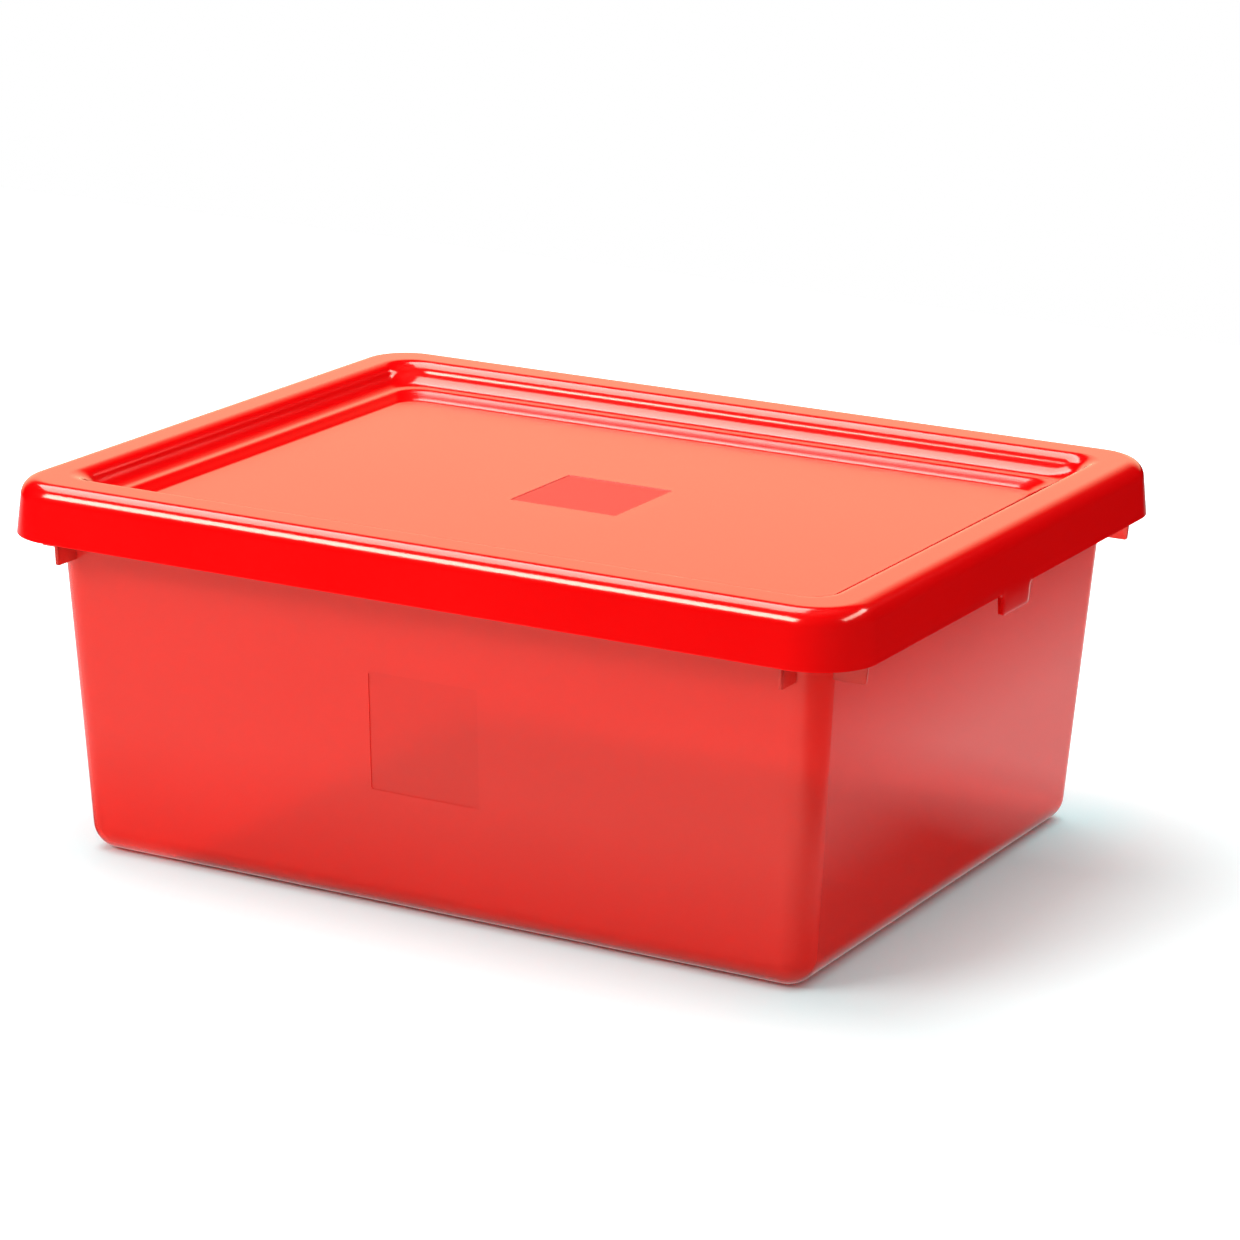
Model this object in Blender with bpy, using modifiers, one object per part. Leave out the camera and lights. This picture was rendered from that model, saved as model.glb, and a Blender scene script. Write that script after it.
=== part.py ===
# Storage box of two mouldings: a translucent tub with drafted walls and an outward rim, and a lid that
# drops over the rim. Metres, +Z up, X along the long side, origin on the floor under the middle.

import math

import bmesh
import bpy
from mathutils import Matrix, Vector

COLLECTION_NAME = "building_block_storage_box"

# Lid, outside
LID_LENGTH = 0.400
LID_WIDTH = 0.319
LID_TOP_HEIGHT = 0.165
LID_SKIRT_DEPTH = 0.0238
LID_SKIRT_FLARE_DEG = 6.3
LID_EDGE_RADIUS = 0.0078
LID_CORNER_RADIUS = 0.027
LID_WALL = 0.0020
LID_BAND_WIDTH = 0.0090
LID_BAND_INNER_CORNER = 0.014

# Sunk tray in the lid: a first slope to a narrow ledge, then a second slope to the panel
TRAY_FIRST_DROP = 0.0092
TRAY_FIRST_RUN_X = 0.0162
TRAY_FIRST_RUN_Y = 0.0178
TRAY_LEDGE_RUN_X = 0.0006
TRAY_LEDGE_RUN_Y = 0.0012
TRAY_SECOND_DROP = 0.0028
TRAY_SECOND_RUN_X = 0.0060
TRAY_SECOND_RUN_Y = 0.0153
TRAY_LEDGE_CORNER = 0.012
TRAY_PANEL_CORNER = 0.010
TRAY_FIRST_STEEP_DEG = 31.5
TRAY_SECOND_STEEP_DEG = 50.0
TRAY_FIRST_CREST_SHARE = 0.42
TRAY_SECOND_CREST_SHARE = 0.52

# Finger tongue under the skirt at each short end
TONGUE_WIDTH = 0.0290
TONGUE_TIP_WIDTH = 0.0274
TONGUE_DROP = 0.0092
TONGUE_SET_BACK = 0.0004
TONGUE_WALL = 0.0015
TONGUE_TIP_RADIUS = 0.0025
TONGUE_ROOT_RADIUS = 0.0025
TONGUE_ROOT_DEPTH = 0.0030

# Tub. The overhangs are from its outer wall out to the skirt's bottom edge, at that edge's height
LID_OVERHANG_X = 0.0189
LID_OVERHANG_Y = 0.0170
TUB_DRAFT_DEG = 3.5
TUB_WALL = 0.0020
TUB_CORNER_RADIUS = 0.013
TUB_FLOOR_RADIUS = 0.012
TUB_RIM_BEND_RADIUS = 0.0025
TUB_LIP_DEPTH = 0.0145

# Ribs under the rim, one on each wall by each corner
RIB_THICKNESS = 0.0016
RIB_HANG = 0.0098
RIB_TIP_RADIUS = 0.0010
RIB_TIP_DRAFT = 0.0008
RIB_FROM_SHORT_SIDE = 0.0305
RIB_LONG_WALL_INSET = 0.0034
RIB_FROM_LONG_SIDE = 0.0292
RIB_SHORT_WALL_INSET = 0.0046

# Plain square on the lid's panel and on the front wall, sunk a little into the surface
SQUARE_SIDE = 0.0515
SQUARE_DEPTH = 0.0004
SQUARE_WALL_HEIGHT = 0.0788

# Fits and construction
SEAT_GAP = 0.0003
SIDE_GAP = 0.0005
MERGE_DISTANCE = 0.00001
CORNER_STEPS = 6
SLOPE_STEPS = 4
EDGE_STEPS = 5

LID_COLOR = (0.80, 0.0, 0.008)
TUB_COLOR = (0.72, 0.035, 0.03)
LID_ROUGHNESS = 0.18
TUB_ROUGHNESS = 0.30
LID_ALPHA = 1.0
TUB_ALPHA = 0.72
SHARP_EDGE_DEG = 35

flare = math.radians(LID_SKIRT_FLARE_DEG)
draft = math.radians(TUB_DRAFT_DEG)
lid_half = Vector((LID_LENGTH / 2, LID_WIDTH / 2))
tub_top_half = lid_half - Vector((LID_OVERHANG_X, LID_OVERHANG_Y))
first_run = Vector((TRAY_FIRST_RUN_X, TRAY_FIRST_RUN_Y))
ledge_run = Vector((TRAY_LEDGE_RUN_X, TRAY_LEDGE_RUN_Y))
second_run = Vector((TRAY_SECOND_RUN_X, TRAY_SECOND_RUN_Y))
skirt_bottom = LID_TOP_HEIGHT - LID_SKIRT_DEPTH
edge_centre_height = LID_TOP_HEIGHT - LID_EDGE_RADIUS
edge_end_height = edge_centre_height + LID_EDGE_RADIUS * math.sin(flare)
# Inset of the edge rounding's centre line from the skirt's outer bottom edge
edge_centre_inset = (edge_end_height - skirt_bottom) * math.tan(flare) + LID_EDGE_RADIUS * math.cos(flare)
band_inner_inset = edge_centre_inset + LID_BAND_WIDTH
rim_top_height = LID_TOP_HEIGHT - LID_WALL - SEAT_GAP
rim_under_height = rim_top_height - TUB_WALL
rim_edge_radius = LID_EDGE_RADIUS - LID_WALL - SIDE_GAP
lip_under_radius = rim_edge_radius - TUB_WALL
lip_bottom = rim_top_height - TUB_LIP_DEPTH
panel_height = LID_TOP_HEIGHT - TRAY_FIRST_DROP - TRAY_SECOND_DROP
rib_bottom = skirt_bottom - RIB_HANG


def clear_scene():
    for item in list(bpy.data.objects):
        bpy.data.objects.remove(item, do_unlink=True)


def make_collection(name):
    collection = bpy.data.collections.new(name)
    bpy.context.scene.collection.children.link(collection)
    return collection


def make_material(name, color, roughness, alpha):
    material = bpy.data.materials.new(name)
    material.use_nodes = True
    shader = material.node_tree.nodes["Principled BSDF"]
    shader.inputs["Base Color"].default_value = (*color, 1.0)
    shader.inputs["Roughness"].default_value = roughness
    shader.inputs["Alpha"].default_value = alpha
    return material


def tub_half_at(height):
    shrink = (skirt_bottom - height) * math.tan(draft)
    return tub_top_half - Vector((shrink, shrink))


# A section is a quarter of a rounded rectangle: half sizes, corner radius and height
def section(half, radius, height):
    return (half.x, half.y, radius, height)


def quarter_points(half_x, half_y, radius, height):
    points = [Vector((half_x, 0, height))]
    for step in range(CORNER_STEPS + 1):
        turn = math.radians(90) * step / CORNER_STEPS
        across = half_x - radius + radius * math.cos(turn)
        along = half_y - radius + radius * math.sin(turn)
        points.append(Vector((across, along, height)))
    points.append(Vector((0, half_y, height)))
    return points


# The wall of a moulding is a loft between rounded rectangles of unlike size and corner, so its faces are
# bridged here. The first section is filled in as the floor or the panel.
def loft_quarter(name, sections, flip):
    shape = bmesh.new()
    rings = [[shape.verts.new(point) for point in quarter_points(*item)] for item in sections]
    middle = shape.verts.new((0, 0, sections[0][3]))
    shape.faces.new([middle] + rings[0])
    for lower, upper in zip(rings, rings[1:]):
        for index in range(len(lower) - 1):
            shape.faces.new((lower[index], upper[index], upper[index + 1], lower[index + 1]))
    bmesh.ops.recalc_face_normals(shape, faces=shape.faces)
    shape.faces.ensure_lookup_table()
    first_normal = shape.faces[0].normal
    if (first_normal.z > 0) != flip:
        bmesh.ops.reverse_faces(shape, faces=shape.faces)
    mesh = bpy.data.meshes.new(name)
    shape.to_mesh(mesh)
    shape.free()
    return mesh


def add_object(name, mesh, collection):
    item = bpy.data.objects.new(name, mesh)
    collection.objects.link(item)
    return item


def hide_tool(item):
    item.hide_render = True
    item.display_type = "WIRE"


def add_mirror(item, use_x, use_y):
    mirror = item.modifiers.new("mirror", "MIRROR")
    mirror.use_axis = (use_x, use_y, False)
    mirror.use_mirror_merge = True
    mirror.merge_threshold = MERGE_DISTANCE


def add_wall(item, thickness):
    solidify = item.modifiers.new("wall", "SOLIDIFY")
    solidify.thickness = thickness
    solidify.offset = -1
    solidify.use_even_offset = True


def add_boolean(item, tool, operation):
    boolean = item.modifiers.new(tool.name, "BOOLEAN")
    boolean.operation = operation
    boolean.solver = "EXACT"
    boolean.object = tool


# Arc from one angle to another in a wall's section, given as (outward distance, height) pairs
def arc(centre_out, centre_height, radius, start_deg, end_deg, steps):
    points = []
    for step in range(steps + 1):
        turn = math.radians(start_deg + (end_deg - start_deg) * step / steps)
        points.append((centre_out + radius * math.cos(turn), centre_height + radius * math.sin(turn)))
    return points


# Slope that leaves one flat over a round crest and meets the next in a round foot.
# The pairs are shares of its run and of its drop.
def slope_shares(steep_deg, crest_share):
    steep = math.radians(steep_deg)
    full_run = math.cos(steep)
    full_drop = 1 - math.sin(steep)
    foot_share = 1 - crest_share
    shares = []
    for step in range(SLOPE_STEPS + 1):
        lean = math.radians(90) + (steep - math.radians(90)) * step / SLOPE_STEPS
        shares.append((crest_share * math.cos(lean) / full_run, crest_share * (1 - math.sin(lean)) / full_drop))
    for step in range(1, SLOPE_STEPS + 1):
        lean = steep + (math.radians(90) - steep) * step / SLOPE_STEPS
        run = full_run - foot_share * math.cos(lean)
        drop = full_drop - foot_share * (1 - math.sin(lean))
        shares.append((run / full_run, drop / full_drop))
    return shares


def blend(start, end, share):
    return start + (end - start) * share


def slope_sections(half, height, run, drop, corners, steep_deg, crest_share):
    sections = []
    for run_share, drop_share in slope_shares(steep_deg, crest_share):
        radius = blend(corners[0], corners[1], run_share)
        sections.append(section(half - run * run_share, radius, height - drop * drop_share))
    return sections


# Lid sections from the panel outward to the bottom of the skirt
def lid_sections():
    band_half = lid_half - Vector((band_inner_inset, band_inner_inset))
    ledge_half = band_half - first_run
    ledge_height = LID_TOP_HEIGHT - TRAY_FIRST_DROP
    first = slope_sections(band_half, LID_TOP_HEIGHT, first_run, TRAY_FIRST_DROP,
                           (LID_BAND_INNER_CORNER, TRAY_LEDGE_CORNER),
                           TRAY_FIRST_STEEP_DEG, TRAY_FIRST_CREST_SHARE)
    second = slope_sections(ledge_half - ledge_run, ledge_height, second_run, TRAY_SECOND_DROP,
                            (TRAY_LEDGE_CORNER, TRAY_PANEL_CORNER),
                            TRAY_SECOND_STEEP_DEG, TRAY_SECOND_CREST_SHARE)
    sections = list(reversed(first + second))
    edge = arc(-edge_centre_inset, edge_centre_height, LID_EDGE_RADIUS, 90, LID_SKIRT_FLARE_DEG, EDGE_STEPS)
    for out, height in edge + [(0, skirt_bottom)]:
        half = lid_half + Vector((out, out))
        sections.append(section(half, LID_CORNER_RADIUS + out, height))
    return sections


# Tub sections from the floor up the wall, out along the underside of the rim and down inside the lip
def tub_sections():
    floor_turn = arc(0, TUB_FLOOR_RADIUS, TUB_FLOOR_RADIUS, -90, -TUB_DRAFT_DEG, EDGE_STEPS)
    turn_end = tub_half_at(floor_turn[-1][1])
    sections = []
    for out, height in floor_turn:
        step_back = out - floor_turn[-1][0]
        half = turn_end + Vector((step_back, step_back))
        sections.append(section(half, TUB_CORNER_RADIUS + step_back, height))
    bend_height = rim_under_height - TUB_RIM_BEND_RADIUS
    bend = arc(TUB_RIM_BEND_RADIUS, bend_height, TUB_RIM_BEND_RADIUS, 180 - TUB_DRAFT_DEG, 90, SLOPE_STEPS)
    bend_start = tub_half_at(bend[0][1])
    for out, height in bend:
        step_out = out - bend[0][0]
        half = bend_start + Vector((step_out, step_out))
        sections.append(section(half, TUB_CORNER_RADIUS + step_out, height))
    lip = arc(-edge_centre_inset, edge_centre_height, lip_under_radius, 90, LID_SKIRT_FLARE_DEG, EDGE_STEPS)
    lip_fall = lip[-1][1] - lip_bottom
    lip.append((lip[-1][0] + lip_fall * math.tan(flare), lip_bottom))
    for out, height in lip:
        half = lid_half + Vector((out, out))
        sections.append(section(half, LID_CORNER_RADIUS + out, height))
    return sections


# Flat plate from an outline of (outward, up) pairs, standing in the plane of the wall's section
def make_plate(name, outline, thickness, collection):
    curve = bpy.data.curves.new(name, "CURVE")
    curve.dimensions = "2D"
    curve.fill_mode = "BOTH"
    curve.extrude = thickness / 2
    spline = curve.splines.new("POLY")
    spline.points.add(len(outline) - 1)
    for point, (out, up) in zip(spline.points, outline):
        point.co = (out, up, 0, 1)
    spline.use_cyclic_u = True
    holder = add_object(name + "_curve", curve, collection)
    bpy.context.view_layer.update()
    evaluated = holder.evaluated_get(bpy.context.evaluated_depsgraph_get())
    mesh = bpy.data.meshes.new_from_object(evaluated)
    bpy.data.objects.remove(holder, do_unlink=True)
    shape = bmesh.new()
    shape.from_mesh(mesh)
    bmesh.ops.remove_doubles(shape, verts=shape.verts, dist=MERGE_DISTANCE)
    shape.to_mesh(mesh)
    shape.free()
    return add_object(name, mesh, collection)


# Distance from the middle of the box to the middle of the lip's thickness
def lip_middle(lid_half_axis, height):
    middle_radius = rim_edge_radius - TUB_WALL / 2
    return lid_half_axis - edge_centre_inset + middle_radius / math.cos(flare) + (
        (edge_centre_height - height) * math.tan(flare))


# The rib fills the corner between wall, rim and lip, and its free tip hangs below the skirt
def rib_outline(axis, inset):
    half_wall = TUB_WALL / 2
    top = rim_top_height - half_wall
    reach = lid_half[axis] - inset
    tip_out = reach - RIB_TIP_DRAFT
    outline = [(tub_half_at(rib_bottom)[axis] - half_wall, rib_bottom)]
    outline.append((tub_half_at(top)[axis] - half_wall, top))
    outline.append((lid_half[axis] - edge_centre_inset, top))
    outline.append((lip_middle(lid_half[axis], edge_centre_height), edge_centre_height))
    outline.append((lip_middle(lid_half[axis], lip_bottom), lip_bottom))
    outline.append((reach, skirt_bottom))
    outline.extend(arc(tip_out - RIB_TIP_RADIUS, rib_bottom + RIB_TIP_RADIUS, RIB_TIP_RADIUS,
                       0, -90, SLOPE_STEPS))
    return outline


# Four ribs on the long walls or on the short walls, mirrored from one
def make_ribs(name, axis, inset, place, collection):
    rib = make_plate(name, rib_outline(axis, inset), RIB_THICKNESS, collection)
    if axis == 0:
        turn = Matrix(((1, 0, 0), (0, 0, 1), (0, 1, 0))).to_4x4()
        move = Matrix.Translation((0, place, 0))
    else:
        turn = Matrix(((0, 0, 1), (1, 0, 0), (0, 1, 0))).to_4x4()
        move = Matrix.Translation((place, 0, 0))
    rib.data.transform(move @ turn)
    if (move @ turn).is_negative:
        rib.data.flip_normals()
    add_mirror(rib, True, True)
    hide_tool(rib)
    return rib


def make_square_cutter(name, centre, tilt, collection):
    shape = bmesh.new()
    bmesh.ops.create_cube(shape, size=1)
    size = Matrix.Diagonal((SQUARE_SIDE, SQUARE_SIDE, 2 * SQUARE_DEPTH, 1))
    shape.transform(Matrix.Translation(centre) @ Matrix.Rotation(tilt, 4, "X") @ size)
    mesh = bpy.data.meshes.new(name)
    shape.to_mesh(mesh)
    shape.free()
    cutter = add_object(name, mesh, collection)
    hide_tool(cutter)
    return cutter


# Face-on outline of the tongue: round corners at its tip, and fillets where it leaves the skirt
def tongue_outline():
    root_half = TONGUE_WIDTH / 2
    tip_half = TONGUE_TIP_WIDTH / 2
    tip = skirt_bottom - TONGUE_DROP
    right = [(root_half + TONGUE_ROOT_RADIUS, skirt_bottom + TONGUE_ROOT_DEPTH)]
    right.extend(arc(root_half + TONGUE_ROOT_RADIUS, skirt_bottom - TONGUE_ROOT_RADIUS,
                     TONGUE_ROOT_RADIUS, 90, 180, SLOPE_STEPS))
    right.extend(arc(tip_half - TONGUE_TIP_RADIUS, tip + TONGUE_TIP_RADIUS, TONGUE_TIP_RADIUS,
                     0, -90, SLOPE_STEPS))
    left = [(-across, up) for across, up in reversed(right)]
    return right + left


def make_tongues(collection):
    tongue = make_plate("tongues", tongue_outline(), TONGUE_WALL, collection)
    middle = lid_half.x - TONGUE_SET_BACK - TONGUE_WALL / 2
    place = Matrix.Translation((middle, 0, 0)) @ Matrix(((0, 0, 1), (1, 0, 0), (0, 1, 0))).to_4x4()
    tongue.data.transform(place)
    add_mirror(tongue, True, False)
    hide_tool(tongue)
    return tongue


def finish_shading(item, material):
    item.data.materials.append(material)
    item.data.shade_smooth()
    item.data.set_sharp_from_angle(angle=math.radians(SHARP_EDGE_DEG))


def make_tub(parts, tools):
    tub = add_object("storage_tub", loft_quarter("storage_tub", tub_sections(), False), parts)
    add_mirror(tub, True, True)
    add_wall(tub, TUB_WALL)
    short_wall_ribs = make_ribs("ribs_short_walls", 0, RIB_SHORT_WALL_INSET,
                                lid_half.y - RIB_FROM_LONG_SIDE, tools)
    long_wall_ribs = make_ribs("ribs_long_walls", 1, RIB_LONG_WALL_INSET,
                               lid_half.x - RIB_FROM_SHORT_SIDE, tools)
    add_boolean(tub, long_wall_ribs, "UNION")
    add_boolean(tub, short_wall_ribs, "UNION")
    wall_out = tub_half_at(SQUARE_WALL_HEIGHT).y
    square = make_square_cutter("square_on_wall", Vector((0, -wall_out, SQUARE_WALL_HEIGHT)),
                                math.radians(90) + draft, tools)
    add_boolean(tub, square, "DIFFERENCE")
    finish_shading(tub, make_material("tub_plastic", TUB_COLOR, TUB_ROUGHNESS, TUB_ALPHA))


def make_lid(parts, tools):
    lid = add_object("lid", loft_quarter("lid", lid_sections(), True), parts)
    add_mirror(lid, True, True)
    add_wall(lid, LID_WALL)
    add_boolean(lid, make_tongues(tools), "UNION")
    square = make_square_cutter("square_on_panel", Vector((0, 0, panel_height)), 0, tools)
    add_boolean(lid, square, "DIFFERENCE")
    finish_shading(lid, make_material("lid_plastic", LID_COLOR, LID_ROUGHNESS, LID_ALPHA))


def main():
    clear_scene()
    parts = make_collection(COLLECTION_NAME)
    tools = make_collection("construction_shapes")
    make_tub(parts, tools)
    make_lid(parts, tools)


main()
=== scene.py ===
import math

import bmesh
import bpy
from mathutils import Matrix, Vector


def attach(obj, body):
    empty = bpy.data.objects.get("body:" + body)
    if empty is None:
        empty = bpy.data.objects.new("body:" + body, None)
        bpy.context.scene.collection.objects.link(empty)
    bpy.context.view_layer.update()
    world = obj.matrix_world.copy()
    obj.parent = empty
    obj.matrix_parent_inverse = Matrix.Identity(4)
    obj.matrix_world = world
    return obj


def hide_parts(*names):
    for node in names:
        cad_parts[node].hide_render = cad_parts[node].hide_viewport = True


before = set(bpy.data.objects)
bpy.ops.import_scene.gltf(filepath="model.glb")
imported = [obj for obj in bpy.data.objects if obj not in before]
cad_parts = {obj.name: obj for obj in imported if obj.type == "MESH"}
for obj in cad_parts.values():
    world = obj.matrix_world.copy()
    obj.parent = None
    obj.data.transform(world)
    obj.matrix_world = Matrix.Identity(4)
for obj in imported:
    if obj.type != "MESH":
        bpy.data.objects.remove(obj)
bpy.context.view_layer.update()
print("frame loaded")

# Sizes that the lid and the tub share, in metres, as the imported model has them
common = {
    "lidHalfX": 0.200, "lidHalfY": 0.1595, "topHeight": 0.165, "skirtBottom": 0.1412,
    "flareDeg": 6.3, "edgeRadius": 0.0078, "lidCorner": 0.027,
    "lidWall": 0.0020, "tubWall": 0.0020, "seatGap": 0.0003, "sideGap": 0.0005,
    "support": 0.0006,  # how close a helper loop lies to the start of a curve
    "mergeDistance": 0.00002, "cornerSteps": 16, "sharpDeg": 32, "bevelFromDeg": 50,
}
flare = math.radians(common["flareDeg"])
edgeHeight = common["topHeight"] - common["edgeRadius"]
edgeEnd = edgeHeight + common["edgeRadius"] * math.sin(flare)
skirtRun = (edgeEnd - common["skirtBottom"]) * math.tan(flare)
edgeInset = skirtRun + common["edgeRadius"] * math.cos(flare)


def addObject(name, mesh):
    item = bpy.data.objects.new(name, mesh)
    bpy.context.scene.collection.objects.link(item)
    return item


def dropObject(item):
    bpy.data.objects.remove(item, do_unlink=True)


def meshFrom(name, points, faces=()):
    mesh = bpy.data.meshes.new(name)
    mesh.from_pydata(points, (), faces)
    mesh.update()
    return mesh


# A table is a mesh without faces: one point for each row, and one attribute for each column
def addTable(name, rows):
    item = addObject(name, meshFrom(name, [(0, 0, 0)] * len(rows)))
    for key in rows[0]:
        values = item.data.attributes.new(key, "FLOAT", "POINT")
        values.data.foreach_set("value", [row[key] for row in rows])
    return item


def arcPoints(centreOut, centreHeight, radius, startDeg, endDeg, steps):
    points = []
    for step in range(steps + 1):
        turn = math.radians(startDeg + (endDeg - startDeg) * step / steps)
        points.append((centreOut + radius * math.cos(turn), centreHeight + radius * math.sin(turn)))
    return points


# The evaluated object as a plain mesh object without modifiers
def plainCopy(item, name):
    evaluated = item.evaluated_get(bpy.context.evaluated_depsgraph_get())
    mesh = bpy.data.meshes.new_from_object(evaluated)
    mesh.name = name
    dropObject(item)
    return addObject(name, mesh)


class TreeMaker:
    def __init__(self, tree):
        self.tree = tree

    def node(self, kind, inputs=None, **settings):
        made = self.tree.nodes.new(kind)
        for key, value in settings.items():
            setattr(made, key, value)
        for key, value in (inputs or {}).items():
            self.feed(made.inputs[key], value)
        return made

    def feed(self, socket, value):
        if isinstance(value, bpy.types.NodeSocket):
            self.tree.links.new(value, socket)
        else:
            socket.default_value = value

    def calc(self, operation, *values):
        made = self.tree.nodes.new("ShaderNodeMath")
        made.operation = operation
        for socket, value in zip(made.inputs, values):
            self.feed(socket, value)
        return made.outputs[0]

    def mix(self, share, first, second):
        made = self.tree.nodes.new("ShaderNodeMix")
        self.feed(made.inputs[0], share)
        self.feed(made.inputs[2], first)
        self.feed(made.inputs[3], second)
        return made.outputs[0]

    # The first colour fades to the second as the share grows
    def blend(self, share, first, second):
        made = self.node("ShaderNodeMix", data_type="RGBA")
        self.feed(made.inputs[0], share)
        self.feed(made.inputs[6], first)
        self.feed(made.inputs[7], second)
        return made.outputs[2]


def newTree(name, kind, sockets):
    tree = bpy.data.node_groups.new(name, kind)
    for label, way, socketType, value in sockets:
        socket = tree.interface.new_socket(name=label, in_out=way, socket_type=socketType)
        if value is not None:
            socket.default_value = value
    maker = TreeMaker(tree)
    return maker, tree.nodes.new("NodeGroupInput"), tree.nodes.new("NodeGroupOutput")


def addTreeModifier(item, tree, values):
    modifier = item.modifiers.new(tree.name, "NODES")
    modifier.node_group = tree
    for socket in tree.interface.items_tree:
        if socket.in_out == "INPUT" and socket.name in values:
            modifier[socket.identifier] = values[socket.name]


# Every moulded wall of the box follows one rule. A section table gives each level its half sizes, corner
# radius and height, and an outline table says how each point of a quarter of the way round uses them.
def makeShellTree():
    maker, given, result = newTree("mouldedShell", "GeometryNodeTree", [
        ("Sections", "INPUT", "NodeSocketGeometry", None),
        ("Outline", "INPUT", "NodeSocketObject", None),
        ("Merge Distance", "INPUT", "NodeSocketFloat", 0.00002),
        ("Material", "INPUT", "NodeSocketMaterial", None),
        ("Shell", "OUTPUT", "NodeSocketGeometry", None),
    ])
    sections = given.outputs["Sections"]
    outline = maker.node("GeometryNodeObjectInfo", {"Object": given.outputs["Outline"]}).outputs["Geometry"]
    counts = []
    for table in (outline, sections):
        size = maker.node("GeometryNodeAttributeDomainSize", {"Geometry": table}, component="MESH")
        counts.append(size.outputs["Point Count"])
    spans = [maker.calc("SUBTRACT", count, 1) for count in counts]
    grid = maker.node("GeometryNodeMeshGrid", {
        "Size X": spans[0], "Size Y": spans[1], "Vertices X": counts[0], "Vertices Y": counts[1],
    }).outputs["Mesh"]
    place = maker.node("ShaderNodeSeparateXYZ", {0: maker.node("GeometryNodeInputPosition").outputs[0]})
    column = maker.calc("ROUND", maker.calc("MULTIPLY_ADD", spans[0], 0.5, place.outputs[0]))
    level = maker.calc("ROUND", maker.calc("MULTIPLY_ADD", spans[1], 0.5, place.outputs[1]))

    def look(table, index, name):
        value = maker.node("GeometryNodeInputNamedAttribute", {"Name": name}, data_type="FLOAT")
        sample = maker.node("GeometryNodeSampleIndex", data_type="FLOAT", domain="POINT")
        maker.feed(sample.inputs["Geometry"], table)
        maker.feed(sample.inputs["Value"], value.outputs["Attribute"])
        maker.feed(sample.inputs["Index"], index)
        return sample.outputs["Value"]

    corner = look(sections, level, "corner")
    support = look(sections, level, "support")
    hang = look(sections, level, "hang")
    reach = maker.calc("MULTIPLY", hang, look(outline, column, "tongue"))
    sides = []
    for axis in "XY":
        size = maker.calc("MULTIPLY", look(sections, level, "half" + axis),
                          look(outline, column, "size" + axis))
        turned = maker.calc("MULTIPLY_ADD", corner, look(outline, column, "turn" + axis), size)
        sides.append(maker.calc("MULTIPLY_ADD", support, look(outline, column, "help" + axis), turned))
    bend = look(outline, column, "bend")
    across = maker.mix(bend, sides[0], look(sections, level, "tongueOut"))
    along = maker.mix(reach, sides[1], look(outline, column, "tongueSide"))
    height = maker.mix(reach, look(sections, level, "height"), look(outline, column, "tongueHeight"))
    spot = maker.node("ShaderNodeCombineXYZ", {0: across, 1: along, 2: height}).outputs[0]
    shell = maker.node("GeometryNodeSetPosition", {"Geometry": grid, "Position": spot}).outputs[0]
    for scale in ((-1, 1, 1), (1, -1, 1)):
        turned = maker.node("GeometryNodeTransform", {"Geometry": shell, "Scale": scale}).outputs[0]
        turned = maker.node("GeometryNodeFlipFaces", {"Mesh": turned}).outputs[0]
        join = maker.node("GeometryNodeJoinGeometry")
        maker.feed(join.inputs[0], shell)
        maker.feed(join.inputs[0], turned)
        shell = join.outputs[0]
    shell = maker.node("GeometryNodeMergeByDistance", {
        "Geometry": shell, "Distance": given.outputs["Merge Distance"]}).outputs[0]
    shell = maker.node("GeometryNodeRealizeInstances", {"Geometry": shell}).outputs[0]
    shell = maker.node("GeometryNodeSetMaterial", {
        "Geometry": shell, "Material": given.outputs["Material"]}).outputs[0]
    maker.feed(result.inputs["Shell"], shell)
    return maker.tree


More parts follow.
